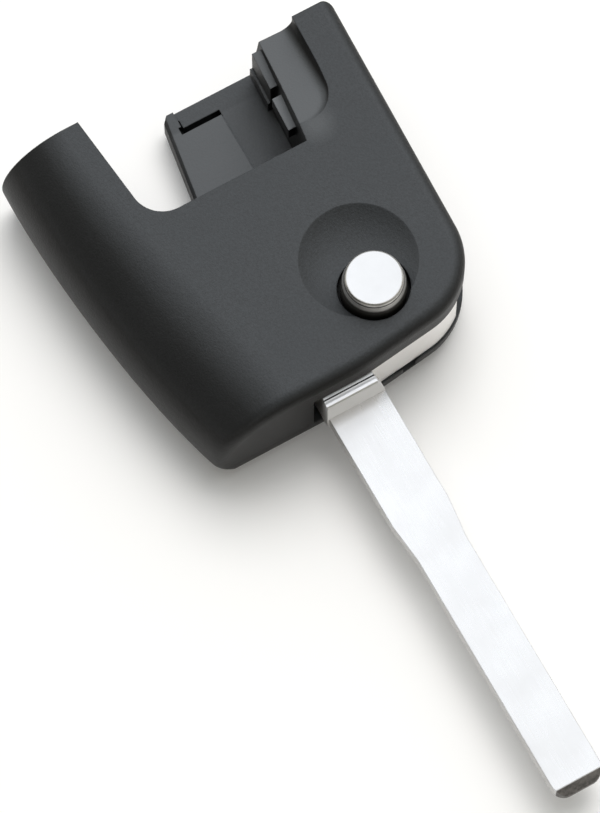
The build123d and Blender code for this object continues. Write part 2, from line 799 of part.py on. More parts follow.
# Uncut blade
with BuildPart() as key_blade:
    with BuildSketch(Plane.XY.offset(blade_bottom_z)) as blade_plan:
        with BuildLine():
            FilletPolyline(
                (blade_centre_x - blade_wide / 2, neck_front_y),
                (blade_centre_x - blade_wide / 2, blade_taper_start_y),
                (blade_centre_x - blade_narrow / 2, blade_taper_end_y),
                (blade_centre_x - blade_narrow / 2, blade_tip_y),
                (blade_centre_x + blade_narrow / 2, blade_tip_y),
                (blade_centre_x + blade_narrow / 2, blade_taper_end_y),
                (blade_centre_x + blade_wide / 2, blade_taper_start_y),
                (blade_centre_x + blade_wide / 2, neck_front_y),
                radius=[
                    0,
                    blade_taper_radius,
                    blade_taper_radius,
                    blade_tip_corner,
                    blade_tip_corner,
                    blade_taper_radius,
                    blade_taper_radius,
                    0,
                ],
                close=True,
            )
        make_face()
    extrude(amount=blade_thickness)
    with BuildSketch(Plane.YZ.offset(blade_centre_x)) as tip_bevel:
        with BuildLine():
            Polyline(
                (blade_tip_y, blade_bottom_z + blade_thickness),
                (blade_tip_y, blade_bottom_z + blade_thickness - blade_tip_bevel_height),
                (blade_tip_y + blade_tip_bevel, blade_bottom_z + blade_thickness),
                close=True,
            )
        make_face()
    extrude(amount=blade_wide, both=True, mode=Mode.SUBTRACT)
    with BuildSketch(Plane.XY.offset(blade_bottom_z)) as tang_plan:
        with Locations((blade_centre_x, neck_front_y)):
            Rectangle(tang_width, tang_end_y - neck_front_y, align=(Align.CENTER, Align.MIN))
        with Locations((blade_centre_x, blade_pin_y)):
            Circle(blade_pin_radius, mode=Mode.SUBTRACT)
    extrude(amount=blade_thickness)
key_blade.part.label = "key_blade"
export_step(key_blade.part, "parts/key_blade.step")

# Slit pin through the neck and the blade's tang
with BuildPart() as blade_pin:
    with BuildSketch(Plane.XY.offset(blade_bottom_z)) as pin_ring:
        with Locations((blade_centre_x, blade_pin_y)):
            Circle(blade_pin_radius)
            Circle(blade_pin_radius - blade_pin_wall, mode=Mode.SUBTRACT)
            Rectangle(
                blade_pin_radius + blade_pin_wall,
                blade_pin_slit,
                align=(Align.MIN, Align.CENTER),
                mode=Mode.SUBTRACT,
            )
    extrude(amount=blade_pin_top_z - blade_bottom_z)
blade_pin.part.label = "blade_pin"
export_step(blade_pin.part, "parts/blade_pin.step")

# Pin on the hub that runs in the curved track of the lower half
with BuildPart() as stop_pin:
    with BuildSketch(Plane.XY.offset(stop_track_bottom_z + stop_track_gap)) as stop_pin_plan:
        with Locations((stop_pin_x, stop_pin_y)):
            Circle(stop_pin_radius)
    extrude(amount=stop_pin_top_z - stop_track_bottom_z - stop_track_gap)
stop_pin.part.label = "stop_pin"
export_step(stop_pin.part, "parts/stop_pin.step")

# Anchor that holds the lower end of the flip spring and guides the button spring
with BuildPart() as spring_anchor:
    with BuildSketch(Plane.XY.offset(anchor_pocket_floor_z)) as anchor_plan:
        Circle(bearing_ring_bore - anchor_fit)
        Rectangle(
            2 * (bearing_ring_bore + anchor_key_reach - anchor_fit), anchor_key_width - 2 * anchor_fit
        )
        with Locations(spring_foot_place):
            Circle(flip_spring_wire / 2 + spring_clearance, mode=Mode.SUBTRACT)
    extrude(amount=anchor_thickness)
    with BuildSketch(Plane.XY.offset(anchor_top_z)) as anchor_post:
        Circle(anchor_post_radius)
    extrude(amount=anchor_post_top_z - anchor_top_z)
    chamfer(spring_anchor.edges().group_by(Axis.Z)[-1], anchor_post_radius / 4)
spring_anchor.part.label = "spring_anchor"
export_step(spring_anchor.part, "parts/spring_anchor.step")

# Coil spring that throws the blade out
with BuildPart() as flip_spring:
    with BuildLine() as flip_coil:
        Helix(
            flip_spring_rise / flip_spring_turns,
            flip_spring_rise,
            flip_spring_radius,
            center=(0, 0, flip_spring_start_z),
        )
    with BuildSketch(Plane(flip_coil.line @ 0, z_dir=flip_coil.line % 0)) as flip_wire:
        Circle(flip_spring_wire / 2)
    sweep(is_frenet=True)
    with BuildSketch(Plane.XY.offset(flip_spring_start_z)) as foot_leg:
        with Locations(spring_foot_place):
            Circle(flip_spring_wire / 2)
    extrude(amount=-flip_spring_leg)
    with BuildSketch(Plane.XY.offset(flip_spring_start_z + flip_spring_rise)) as top_leg:
        with Locations(spring_top_place):
            Circle(flip_spring_wire / 2)
    extrude(amount=flip_spring_leg)
flip_spring.part.label = "flip_spring"
export_step(flip_spring.part, "parts/flip_spring.step")

# Coil spring that lifts the button
with BuildPart() as button_spring:
    with BuildLine() as button_coil:
        Helix(
            button_spring_rise / button_spring_turns,
            button_spring_rise,
            button_spring_radius,
            center=(0, 0, button_spring_start_z),
        )
    with BuildSketch(Plane(button_coil.line @ 0, z_dir=button_coil.line % 0)) as button_wire:
        Circle(button_spring_wire / 2)
    sweep(is_frenet=True)
button_spring.part.label = "button_spring"
export_step(button_spring.part, "parts/button_spring.step")

# Plunger under the button
with BuildPart() as button_plunger:
    with BuildSketch(Plane.XZ) as plunger_profile:
        with BuildLine():
            Polyline(
                (0, plunger_stem_bottom_z + plunger_bore_depth),
                (plunger_bore_radius, plunger_stem_bottom_z + plunger_bore_depth),
                (plunger_bore_radius, plunger_stem_bottom_z),
                (plunger_stem_radius, plunger_stem_bottom_z),
                (plunger_stem_radius, plunger_clip_bottom_z),
                (plunger_stem_radius - plunger_clip_groove, plunger_clip_bottom_z),
                (plunger_stem_radius - plunger_clip_groove, lock_plate_bottom_z),
                (plunger_stem_radius, lock_plate_bottom_z),
                (plunger_stem_radius, plunger_head_bottom_z),
                (plunger_head_radius, plunger_head_bottom_z),
                (plunger_head_radius, button_skirt_bottom_z),
                (button_radius - button_wall, button_skirt_bottom_z),
                (button_radius - button_wall, plunger_boss_top_z),
                (0, plunger_boss_top_z),
                close=True,
            )
        make_face()
    revolve(axis=Axis.Z)
button_plunger.part.label = "button_plunger"
export_step(button_plunger.part, "parts/button_plunger.step")

# Plate whose ears key the button to the hub
with BuildPart() as lock_plate:
    with BuildSketch(Plane.XY.offset(lock_plate_bottom_z)) as lock_plan:
        Circle(lock_plate_radius)
        Rectangle(2 * lock_ear_reach, lock_ear_width)
        Circle(plunger_stem_radius, mode=Mode.SUBTRACT)
    extrude(amount=lock_plate_thickness)
lock_plate.part.label = "lock_plate"
export_step(lock_plate.part, "parts/lock_plate.step")

# Open ring that holds the plate on the plunger
with BuildPart() as plunger_clip:
    with BuildSketch(Plane.XY.offset(plunger_clip_bottom_z)) as clip_plan:
        with BuildLine():
            clip_outer = CenterArc(
                (0, 0), plunger_clip_radius, plunger_clip_opening / 2, 360 - plunger_clip_opening
            )
            clip_inner = CenterArc(
                (0, 0),
                plunger_stem_radius - plunger_clip_groove,
                plunger_clip_opening / 2,
                360 - plunger_clip_opening,
            )
            Line(clip_outer @ 0, clip_inner @ 0)
            Line(clip_outer @ 1, clip_inner @ 1)
        make_face()
    extrude(amount=plunger_clip_thickness)
plunger_clip.part.label = "plunger_clip"
export_step(plunger_clip.part, "parts/plunger_clip.step")

# Button cap
with BuildPart() as button_cap:
    with BuildSketch(Plane.XZ) as cap_profile:
        with BuildLine():
            Polyline(
                (0, button_top_z),
                (button_top_radius, button_top_z),
                (button_radius, button_top_z - button_flare_height),
                (button_radius, button_skirt_bottom_z),
                (button_radius - button_wall, button_skirt_bottom_z),
                (button_radius - button_wall, plunger_boss_top_z),
                (0, plunger_boss_top_z),
                close=True,
            )
        make_face()
        fillet(cap_profile.vertices().group_by(Axis.Y)[-1].sort_by(Axis.X)[-1], button_edge_radius)
    revolve(axis=Axis.Z)
button_cap.part.label = "button_cap"
export_step(button_cap.part, "parts/button_cap.step")

# Chip in its holder, pressed down by a soft pad
chip_floor_z = floor_bay_z + chip_holder_wall
with BuildPart() as chip_holder:
    with BuildSketch(Plane.XY.offset(floor_bay_z)) as holder_plan:
        with Locations((chip_centre_x, chip_centre_y)):
            Rectangle(
                chip_width + 2 * (chip_fit + chip_holder_wall),
                chip_length + 2 * (chip_fit + chip_holder_wall),
            )
    extrude(amount=chip_holder_height)
    with BuildSketch(Plane.XY.offset(chip_floor_z)) as holder_hollow:
        with Locations((chip_centre_x, chip_centre_y)):
            Rectangle(chip_width + 2 * chip_fit, chip_length + 2 * chip_fit)
    extrude(amount=chip_holder_height, mode=Mode.SUBTRACT)
chip_holder.part.label = "chip_holder"
export_step(chip_holder.part, "parts/chip_holder.step")

with BuildPart() as coded_chip:
    with BuildSketch(Plane.XY.offset(chip_floor_z)) as chip_plan:
        with Locations((chip_centre_x, chip_centre_y)):
            Rectangle(chip_width, chip_length)
        chamfer(chip_plan.vertices().sort_by(Axis.Y)[-1], chip_corner_cut)
    extrude(amount=chip_height)
coded_chip.part.label = "coded_chip"
export_step(coded_chip.part, "parts/coded_chip.step")

with BuildPart() as chip_pad:
    with BuildSketch(Plane.XY.offset(chip_floor_z + chip_height)) as pad_plan:
        with Locations((chip_centre_x, chip_centre_y)):
            RectangleRounded(
                chip_width - chip_pad_margin,
                chip_length - 2 * chip_pad_margin,
                chip_pad_margin,
            )
    extrude(amount=chip_pad_thickness)
chip_pad.part.label = "chip_pad"
export_step(chip_pad.part, "parts/chip_pad.step")

# Soft pad under the folded blade
with BuildPart() as blade_buffer:
    with BuildSketch(Plane.XY.offset(parting_z - buffer_seat_depth)) as buffer_plan:
        with Locations((-blade_centre_x, buffer_start_y)):
            Rectangle(buffer_width, buffer_length, align=(Align.CENTER, Align.MIN))
    extrude(amount=blade_bottom_z - buffer_gap - parting_z + buffer_seat_depth)
blade_buffer.part.label = "blade_buffer"
export_step(blade_buffer.part, "parts/blade_buffer.step")
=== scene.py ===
# %% [markdown]
# # Head of a folding car key
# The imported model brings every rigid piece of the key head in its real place: the two
# halves of the black shell, the hub with its blade, the button and what is inside.
# This lesson gives those pieces their finishes, draws the fine lines that only the eye
# notices, and sets the key on a pale table under soft studio light.

import bpy
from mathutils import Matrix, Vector


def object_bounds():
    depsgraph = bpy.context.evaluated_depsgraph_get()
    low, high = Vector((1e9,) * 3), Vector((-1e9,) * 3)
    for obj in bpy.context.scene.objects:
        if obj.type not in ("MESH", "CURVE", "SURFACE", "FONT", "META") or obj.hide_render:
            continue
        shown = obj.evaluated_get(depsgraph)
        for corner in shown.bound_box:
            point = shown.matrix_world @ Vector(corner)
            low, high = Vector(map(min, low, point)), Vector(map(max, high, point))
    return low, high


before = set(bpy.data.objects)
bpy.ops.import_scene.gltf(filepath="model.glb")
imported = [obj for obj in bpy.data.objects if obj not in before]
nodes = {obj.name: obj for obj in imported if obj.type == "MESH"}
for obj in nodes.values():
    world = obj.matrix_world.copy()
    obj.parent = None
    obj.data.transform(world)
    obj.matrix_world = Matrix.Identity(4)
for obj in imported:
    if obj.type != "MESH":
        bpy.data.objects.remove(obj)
model_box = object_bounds()
print("nodes", len(nodes), "box", model_box)

# %% [markdown]
# ## A short way to write shader maths
# A finish on a real object is never one flat value: moulded plastic is a little duller
# where hands rub it, and brushed steel carries fine lines. Such changes are sums and
# products of a few noise patterns. A small class that wraps a socket and overloads the
# operators lets them be written as plain expressions, and adds the nodes for them.


# %% Shader maths
class Field:
    """A socket of a node tree, with the arithmetic that patterns are mixed by."""

    def __init__(self, tree, socket=None):
        self.tree = tree
        self.socket = socket

    def node(self, kind, settings=None, inputs=None, output=0):
        """A new node: its settings first, then the values or links of its sockets."""
        made = self.tree.nodes.new(kind)
        for name, value in (settings or {}).items():
            setattr(made, name, value)
        for name, value in (inputs or {}).items():
            if isinstance(value, Field):
                self.tree.links.new(value.socket, made.inputs[name])
            else:
                made.inputs[name].default_value = value
        return Field(self.tree, made.outputs[output] if made.outputs else None)

    def maths(self, operation, first, second):
        sockets = {0: first, 1: second}
        return self.node("ShaderNodeMath", {"operation": operation}, sockets)

    def vector(self, operation, sockets, output=0):
        settings = {"operation": operation}
        return self.node("ShaderNodeVectorMath", settings, sockets, output)

    def __add__(self, other):
        return self.maths("ADD", self, other)

    def __radd__(self, other):
        return self.maths("ADD", other, self)

    def __sub__(self, other):
        return self.maths("SUBTRACT", self, other)

    def __rsub__(self, other):
        return self.maths("SUBTRACT", other, self)

    def __mul__(self, other):
        return self.maths("MULTIPLY", self, other)

    def __rmul__(self, other):
        return self.maths("MULTIPLY", other, self)

    def __abs__(self):
        return self.maths("ABSOLUTE", self, 0.0)

    def larger(self, other):
        return self.maths("MAXIMUM", self, other)

    def clamped(self, low, high):
        """0 at or below low, 1 at or above high, and even between them."""
        sockets = {"Value": self, "From Min": low, "From Max": high}
        sockets.update({"To Min": 0.0, "To Max": 1.0})
        return self.node("ShaderNodeMapRange", {"clamp": True}, sockets)


print("shader maths ready")

# %% [markdown]
# ## One start and one end for every finish
# Each material begins with the piece's own coordinates, in metres, so that a grain of
# 0.2 mm is 0.2 mm wherever the piece sits. It ends with a shader that goes to the
# output. Between them, colours are laid over each other through masks of 0 to 1. Greys
# are written as a level and a warmth, because hardly any grey here is quite neutral.


# %% Start and end of a material
def start_tree(owner):
    """The empty node tree of a material or a world, for nodes to be added to."""
    owner.use_nodes = True
    owner.node_tree.nodes.clear()
    return Field(owner.node_tree)


def start_finish(name):
    material = bpy.data.materials.new(name)
    return material, start_tree(material).node("ShaderNodeTexCoord", output="Object")


def show(shader, output_kind="ShaderNodeOutputMaterial"):
    shader.node(output_kind, {}, {"Surface": shader})


def put_on(name, material):
    nodes[name].data.materials.clear()
    nodes[name].data.materials.append(material)


def grey(level, warmth=0.0):
    return (level * (1 + warmth), level, level * (1 - warmth), 1.0)


def blend_colours(place, factor, first, second):
    """The first colour where the factor is 0 and the second where it is 1."""
    factor_input, first_input, second_input, colour_output = 0, 6, 7, 2
    sockets = {factor_input: factor, first_input: first, second_input: second}
    return place.node("ShaderNodeMix", {"data_type": "RGBA"}, sockets, colour_output)


def overlaid(place, colour, masks, shades):
    """The colour with each shade laid over it, as strongly as it says, by its mask."""
    for name, (strength, shade) in shades.items():
        colour = blend_colours(place, masks[name] * strength, colour, shade)
    return colour


print("a warm grey is", grey(0.5, 0.02))

# %% [markdown]
# ## Grain, relief and worn edges
# Grain is noise, and the same noise drives a Bump node, so that what looks like a grain
# is also felt by the light. A Bevel node rounds the sharp edges of the model for the
# light alone, and where its normal leaves the true one there is an edge that hands have
# polished.


# %% Grain and relief
def noise(place, size, detail=2.0, roughness=0.5, stretch=(1, 1, 1)):
    """Noise whose blobs are about size metres wide, stretched along the axes."""
    scaled = place.node("ShaderNodeMapping", {}, {"Vector": place, "Scale": stretch})
    sockets = {"Vector": scaled, "Scale": 1.0 / size}
    sockets.update({"Detail": detail, "Roughness": roughness})
    return place.node("ShaderNodeTexNoise", {}, sockets)


def bump(place, height, depth, below=None):
    """Normal of a surface whose height pattern of 0 to 1 is depth metres deep."""
    sockets = {"Strength": 1.0, "Distance": depth, "Height": height}
    if below is not None:
        sockets["Normal"] = below
    return place.node("ShaderNodeBump", {}, sockets)


def dot(place, first, second):
    return place.vector("DOT_PRODUCT", {0: first, 1: second}, output=1)


def soft_edges(place, radius):
    """Normal of the surface with its sharp edges rounded to a radius."""
    return place.node("ShaderNodeBevel", {"samples": 4}, {"Radius": radius})


def facing(place):
    return place.node("ShaderNodeNewGeometry", output="Normal")


full_wear = 0.12


def wear_edges(place, softened):
    """1 near sharp edges and 0 elsewhere."""
    return (1.0 - dot(place, softened, facing(place))).clamped(0.0, full_wear)


print("edges are fully worn where the normals part by", full_wear)

# %% [markdown]
# ## Finding a place on a piece
# Some finishes hold for a part of a piece only: its upright faces, a stretch of its
# length, a band of its height. These helpers turn such a place into a mask of 0 to 1.

# %% Masks
x_axis, y_axis, z_axis = 0, 1, 2


def steepness(place, start=0.2, end=0.6):
    """1 on upright faces and 0 on level ones."""
    level = dot(place, facing(place), (0.0, 0.0, 1.0))
    return (1.0 - abs(level)).clamped(start, end)


def along(place, axis):
    """Place along one axis, in metres."""
    return place.node("ShaderNodeSeparateXYZ", {}, {"Vector": place}, output=axis)


def between(value, low, high, fade):
    """1 between two places, 0 outside them, with soft ends."""
    return value.clamped(low, low + fade) * (1.0 - value.clamped(high - fade, high))


print("masks ready")

# %% [markdown]
# ## Line between the two halves
# Where the two halves meet, a hairline of shadow runs round the head. It is drawn in the
# finish, because a gap so fine would need far more facets than it is worth.

# %% Parting line
parting_height = 0.0036
seam_width = 0.00009


def seam_line(place):
    above = along(place, z_axis) - parting_height
    return 1.0 - abs(above).clamped(0.0, seam_width)


print("parting line at", parting_height, "m")

# %% [markdown]
# ## Painted shade on the walls and the rounded side
# The upright walls and the rounded side are painted darker than the face, as painted
# shade, the side a little less so.

# %% Walls of the shell
wall_slopes = (0.03, 0.4)
side_turns = (0.06, 0.42)
side_shade_strength = 0.8
side_edge = (-0.0160, -0.0120)


def shell_walls(place):
    """1 on the upright faces, and nearly 1 on the rounded side that faces -X."""
    turned = dot(place, facing(place), (-1.0, 0.0, 0.0)).clamped(*side_turns)
    on_side = 1.0 - along(place, x_axis).clamped(*side_edge)
    return steepness(place, *wall_slopes).larger(turned * side_shade_strength * on_side)


print("rounded side ends between", *side_edge, "m")

# %% [markdown]
# ## Painted light in the bay
# The level faces of the bay that the remote slides into are painted paler, as painted
# light. It is half as strong low on the tongue and at the tongue's end, and it runs out
# over the end of the scoop.

# %% Bay
face_height = 0.014
below_face = (0.00001, 0.00006)
bay_ends = (0.0178, 0.033)
bay_end_fade = 0.0003
bay_sides = (-0.0120, 0.0077)
bay_side_fade = 0.0014
tongue_plate_height = 0.0041
tongue_plate_fade = 0.0001
above_tongue = (0.006, 0.0062)
tongue_end = (0.0284, 0.0287)
scoop_root = (0.0036, 0.0190, 0.0139)
scoop_root_reach = (0.0006, 0.0026)
scoop_root_strength = 0.8


def paint_bay_light(place, upright):
    """Painted light: 1 on the bay's level faces, and half of it low on the tongue and at
    its end.
    """
    length, height = along(place, y_axis), along(place, z_axis)
    painted_bay_light = between(length, *bay_ends, bay_end_fade)
    painted_bay_light = painted_bay_light * between(along(place, x_axis), *bay_sides, bay_side_fade)
    painted_bay_light = painted_bay_light * (face_height - height).clamped(*below_face) * (1.0 - upright)
    on_plate = (height - tongue_plate_height).clamped(0.0, tongue_plate_fade)
    low = 1.0 - height.clamped(*above_tongue)
    at_end = length.clamped(*tongue_end) * low
    return painted_bay_light * (0.5 + on_plate * 0.5) * (1.0 - at_end * 0.5)


# Painted light at the root of the scoop.
def paint_scoop_light(place):
    away = place.vector("DISTANCE", {0: place, 1: scoop_root}, output=1)
    return (1.0 - away.clamped(*scoop_root_reach)) * scoop_root_strength


print("bay between", *bay_ends, "m")

# %% [markdown]
# ## Ledges of the step wall
# The tops of the two ledges beside the bay are painted the palest of all, as painted
# light.
# A band of height finds them, and a line near the open end stops them where the real ones
# run out.

# %% Ledges
ledge_band = (0.0110, 0.0114)
ledge_fade = 0.0001
ledge_end = (0.0248, 0.0252)


def ledge_tops(place):
    ledge = between(along(place, z_axis), *ledge_band, ledge_fade)
    return ledge * (1.0 - along(place, y_axis).clamped(*ledge_end))


print("ledges between", *ledge_band, "m high")

# %% [markdown]
# ## Black moulded plastic
# The shell is moulded in a tool with a fine spark-eroded texture, which scatters light
# in tiny grains and looks charcoal under a lamp. Two noises of different size make the
# grain, and a broad one changes the sheen where hands have rubbed it. Noise is the
# natural way here, because the grain of such a tool has no direction. The walls shine
# less than the face, so they have a second shader with a weaker shine, and a Mix Shader
# passes from one to the other as the surface turns. Over the grain, painted shade darkens
# the walls and the rounded side, and painted light makes the bay and its ledges paler.

# %% Shell plastic
grain_width, coarse_width, rubbed_width = 0.00022, 0.0006, 0.011
grain_depth = 0.00005
shell_edge_radius = 0.0002
charcoal, charcoal_grain = grey(0.015, -0.13), grey(0.034, -0.13)
# How strongly each place of the shell shows, and in which grey.
shell_shades = {
    "rubbed": (0.3, grey(0.044, -0.12)),
    # Painted shade: the upright walls and the rounded side are painted darker.
    "walls": (0.92, grey(0.008, 0.06)),
    # Painted light: the bay's level faces and the scoop's root are painted paler.
    "painted_bay_light": (0.85, grey(0.082, -0.07)),
    # Painted light: the tops of the two ledges are painted palest of all.
    "ledges": (0.8, grey(0.17, -0.06)),
    "edges": (0.15, grey(0.05, -0.03)),
    "seam": (0.85, grey(0.004)),
}
shell_dullness = 0.55
face_shine, wall_shine = 0.78, 0.34


def shell_plastic():
    material, place = start_finish("shell_plastic")
    grain = noise(place, grain_width, detail=3.0, roughness=0.65)
    coarse = noise(place, coarse_width, detail=2.0)
    rubbed = noise(place, rubbed_width, detail=2.0)
    softened = soft_edges(place, shell_edge_radius)
    edges = wear_edges(place, softened)
    upright = shell_walls(place)
    seam = seam_line(place) * upright
    painted_bay_light = paint_bay_light(place, upright)
    masks = {
        "rubbed": rubbed.clamped(0.35, 0.75),
        "walls": upright,
        "painted_bay_light": painted_bay_light.larger(paint_scoop_light(place)),
        "ledges": ledge_tops(place) * painted_bay_light,
        "edges": edges,
        "seam": seam,
    }
    colour = blend_colours(place, grain.clamped(0.3, 0.7), charcoal, charcoal_grain)
    colour = overlaid(place, colour, masks, shell_shades)
    dullness = shell_dullness + (rubbed - 0.5) * 0.14 - edges * 0.06
    dullness = dullness - upright * 0.07 + seam * 0.2
    normal = bump(place, grain * 0.65 + coarse * 0.35, grain_depth, softened)
    shaders = {"Fac": upright}
    for socket, shine in ((1, face_shine), (2, wall_shine)):
        surface = {"Base Color": colour, "Roughness": dullness, "Normal": normal}
        surface["Specular IOR Level"] = shine
        shaders[socket] = place.node("ShaderNodeBsdfPrincipled", {}, surface)
    show(place.node("ShaderNodeMixShader", {}, shaders))
    return material


black_plastic = shell_plastic()
for name in ("upper_shell", "lower_shell"):
    put_on(name, black_plastic)
print("shell plastic on", "upper_shell", "lower_shell")

# %% [markdown]
# ## Darker tip of the blade
# The blade's slanted end is darker. Beyond the line where the slant begins, a patchy
# darker grey takes over and the surface is rougher.

# %% Sheared tip
tip_slant_start = -0.0551
tip_fade = 0.00008
tip_patch_width = 0.0005
tip_darker_greys = (grey(0.09, 0.06), grey(0.19, 0.07))
tip_more_dullness = 0.12


def darker_tip(place, colour, dullness, normal):
    tip = (tip_slant_start - along(place, y_axis)).clamped(0.0, tip_fade)
    patches = noise(place, tip_patch_width, detail=3.0).clamped(0.35, 0.7)
    darker_grey = blend_colours(place, patches, *tip_darker_greys)
    colour = blend_colours(place, tip, colour, darker_grey)
    return colour, dullness + tip * tip_more_dullness, normal


print("tip sheared beyond", tip_slant_start, "m")

# %% [markdown]
# ## Neck of the hub
# The hub's neck comes out of the front wall. Its sides are cast, and a fine groove runs
# across its sloping top. Top and sides are shaded as if they lay nearly level, so that
# they catch the light of the sheet, and they are painted paler as a painted highlight, the
# top most. The groove is painted nearly black as painted shadow.

# %% Burnished neck
neck_start = -0.00722
neck_start_fade = 0.00003
neck_side_slopes = (0.4, 0.7)
neck_top_height = 0.0095
neck_top_height_fade = 0.00005
neck_top_ends = (-0.00815, -0.00712)
neck_top_fade = 0.00004
groove_ends = (-0.00757, -0.00740)
groove_fade = 0.00003
# Painted highlight on the neck's sides and top, and painted shadow in its groove.
neck_shades = {
    "sides": (1.0, grey(0.88, 0.02)),
    "top": (0.9, grey(0.93)),
    "groove": (1.0, grey(0.02)),
}
upwards = (0.0, 0.0, 4.0)
neck_less_dullness = 0.06


def neck_with_painted_light(place, colour, dullness, normal):
    """The neck levelled to the light, with a painted highlight on its top and sides and
    painted shadow in its groove.
    """
    length, height = along(place, y_axis), along(place, z_axis)
    beyond_wall = (neck_start - length).clamped(0.0, neck_start_fade)
    high = (height - neck_top_height).clamped(0.0, neck_top_height_fade)
    sides = beyond_wall * steepness(place, *neck_side_slopes)
    top = between(length, *neck_top_ends, neck_top_fade) * high
    groove = between(length, *groove_ends, groove_fade) * high
    masks = {"sides": sides, "top": top, "groove": groove}
    lift = place.vector("SCALE", {0: upwards, "Scale": top + sides})
    lifted = place.vector("ADD", {0: normal, 1: lift})
    colour = overlaid(place, colour, masks, neck_shades)
    dullness = dullness - top * neck_less_dullness
    return colour, dullness, place.vector("NORMALIZE", {0: lifted})


print("neck starts at", neck_start, "m")

# %% [markdown]
# ## Side of the button
# The button is polished only on top. A turned ring runs round it below a dark line, and
# its skirt is painted dark as painted shade, so that nothing glints in the gap round it.

# %% Ringed button
button_line_ends = (0.01586, 0.01610)
button_line_fade = 0.00005
button_skirt_top = (0.0150, 0.0153)
button_shades = {
    "side": (0.8, grey(0.90, 0.03)),
    "line": (0.9, grey(0.05, 0.05)),
    # Painted shade: the skirt in the gap round the button is painted dark.
    "skirt": (0.97, grey(0.10, 0.06)),
}
button_more_dullness = 0.3


def ringed_side(place, colour, dullness, normal):
    """The button's side: a dark line, a duller ring, and the skirt below painted dark as
    shade.
    """
    height = along(place, z_axis)
    side = steepness(place)
    line = between(height, *button_line_ends, button_line_fade) * side
    skirt = (1.0 - height.clamped(*button_skirt_top)) * side
    masks = {"side": side, "line": line, "skirt": skirt}
    colour = overlaid(place, colour, masks, button_shades)
    return colour, dullness + side * button_more_dullness, normal


print("button line between", *button_line_ends, "m")

# %% [markdown]
# ## Satin nickel and the other metals
# An uncut blade is stamped, ground flat and plated. Grinding leaves very fine lines
# along its length, and handling leaves a few marks across them, so the noise is
# stretched along Y. The other metal pieces share the recipe, each with its own tone,
# lines and sheen, and three of them with the detail made above. The lock plate is
# painted nearly black as painted shade, or it would glint in the gap round the button.

# %% Ground steel
grinding_width, cloud_width = 0.0009, 0.006
grinding_depth = 0.000008
metal_edge_radius = 0.00012


def ground_steel(name, level, warmth, stretch, roughness, detail=None):
    material, place = start_finish(name)
    lines = noise(place, grinding_width, detail=4.0, roughness=0.6, stretch=stretch)
    cloud = noise(place, cloud_width, detail=3.0)
    softened = soft_edges(place, metal_edge_radius)
    edges = wear_edges(place, softened)
    bright, dark = grey(level, warmth), grey(level * 0.93, warmth * 1.4)
    colour = blend_colours(place, cloud.clamped(0.3, 0.7), bright, dark)
    colour = blend_colours(place, edges * 0.5, colour, grey(min(0.95, level * 1.1)))
    dullness = roughness + (lines - 0.5) * 0.12 + (cloud - 0.5) * 0.10
    normal = bump(place, lines, grinding_depth, softened)
    if detail is not None:
        colour, dullness, normal = detail(place, colour, dullness, normal)
    surface = {"Base Color": colour, "Roughness": dullness, "Normal": normal}
    surface["Metallic"] = 1.0
    show(place.node("ShaderNodeBsdfPrincipled", {}, surface))
    return material


print("grinding lines of", grinding_width, "m")

# %% [markdown]
# ## Which metal goes where
# Each row gives a piece its material's name, tone and warmth, how much finer its lines
# are along X, Y and Z, its roughness, and its detail if it has one.

# %% Metal pieces
metal_nodes = {
    "key_blade": ("blade_steel", 0.76, 0.012, (6.0, 0.25, 6.0), 0.28, darker_tip),
    "blade_hub": ("hub_metal", 0.86, 0.02, (1.0, 1.0, 5.0), 0.40, neck_with_painted_light),
    "button_cap": ("button_metal", 0.72, 0.01, (1.0, 1.0, 1.0), 0.24, ringed_side),
    "blade_pin": ("pin_steel", 0.45, 0.01, (1.0, 1.0, 3.0), 0.35),
    "stop_pin": ("stop_pin_steel", 0.45, 0.01, (1.0, 1.0, 3.0), 0.35),
    "flip_spring": ("flip_spring_steel", 0.38, 0.02, (2.0, 2.0, 1.0), 0.34),
    "button_spring": ("button_spring_steel", 0.42, 0.02, (2.0, 2.0, 1.0), 0.32),
    "spring_anchor": ("anchor_steel", 0.42, 0.01, (1.0, 1.0, 1.0), 0.45),
    # Painted shade: the lock plate is painted nearly black, where the gap round the button
    # shades it.
    "lock_plate": ("lock_plate_shaded_steel", 0.03, 0.01, (4.0, 0.5, 1.0), 0.50),
    "plunger_clip": ("plunger_clip_steel", 0.40, 0.02, (1.0, 1.0, 1.0), 0.38),
    "shell_screws": ("screw_steel", 0.09, 0.0, (1.0, 1.0, 1.0), 0.42),
}
for name, finish in metal_nodes.items():
    put_on(name, ground_steel(*finish))
print("metal on", list(metal_nodes))

# %% [markdown]
# ## Small plastic and rubber pieces inside
# Bushes are natural acetal, slightly waxy. The plunger and the chip's holder are plain
# moulded plastic. The chip is glossy epoxy, and the pads are closed-cell foam rubber
# with visible pores. Each row gives a piece its material's name, tone, warmth and
# roughness, and the width and depth of its grain in metres.

# %% Inner plastics
plastic_cloud_width = 0.004


def plain_plastic(name, level, warmth, roughness, grain_size, depth):
    material, place = start_finish(name)
    grain = noise(place, grain_size, detail=3.0)
    cloud = noise(place, plastic_cloud_width, detail=2.0)
    low, high = grey(level * 0.85, warmth), grey(level * 1.15, warmth)
    surface = {
        "Base Color": blend_colours(place, cloud.clamped(0.3, 0.7), low, high),
        "Roughness": roughness + (grain - 0.5) * 0.1,
        "Normal": bump(place, grain, depth),
    }
    show(place.node("ShaderNodeBsdfPrincipled", {}, surface))
    return material


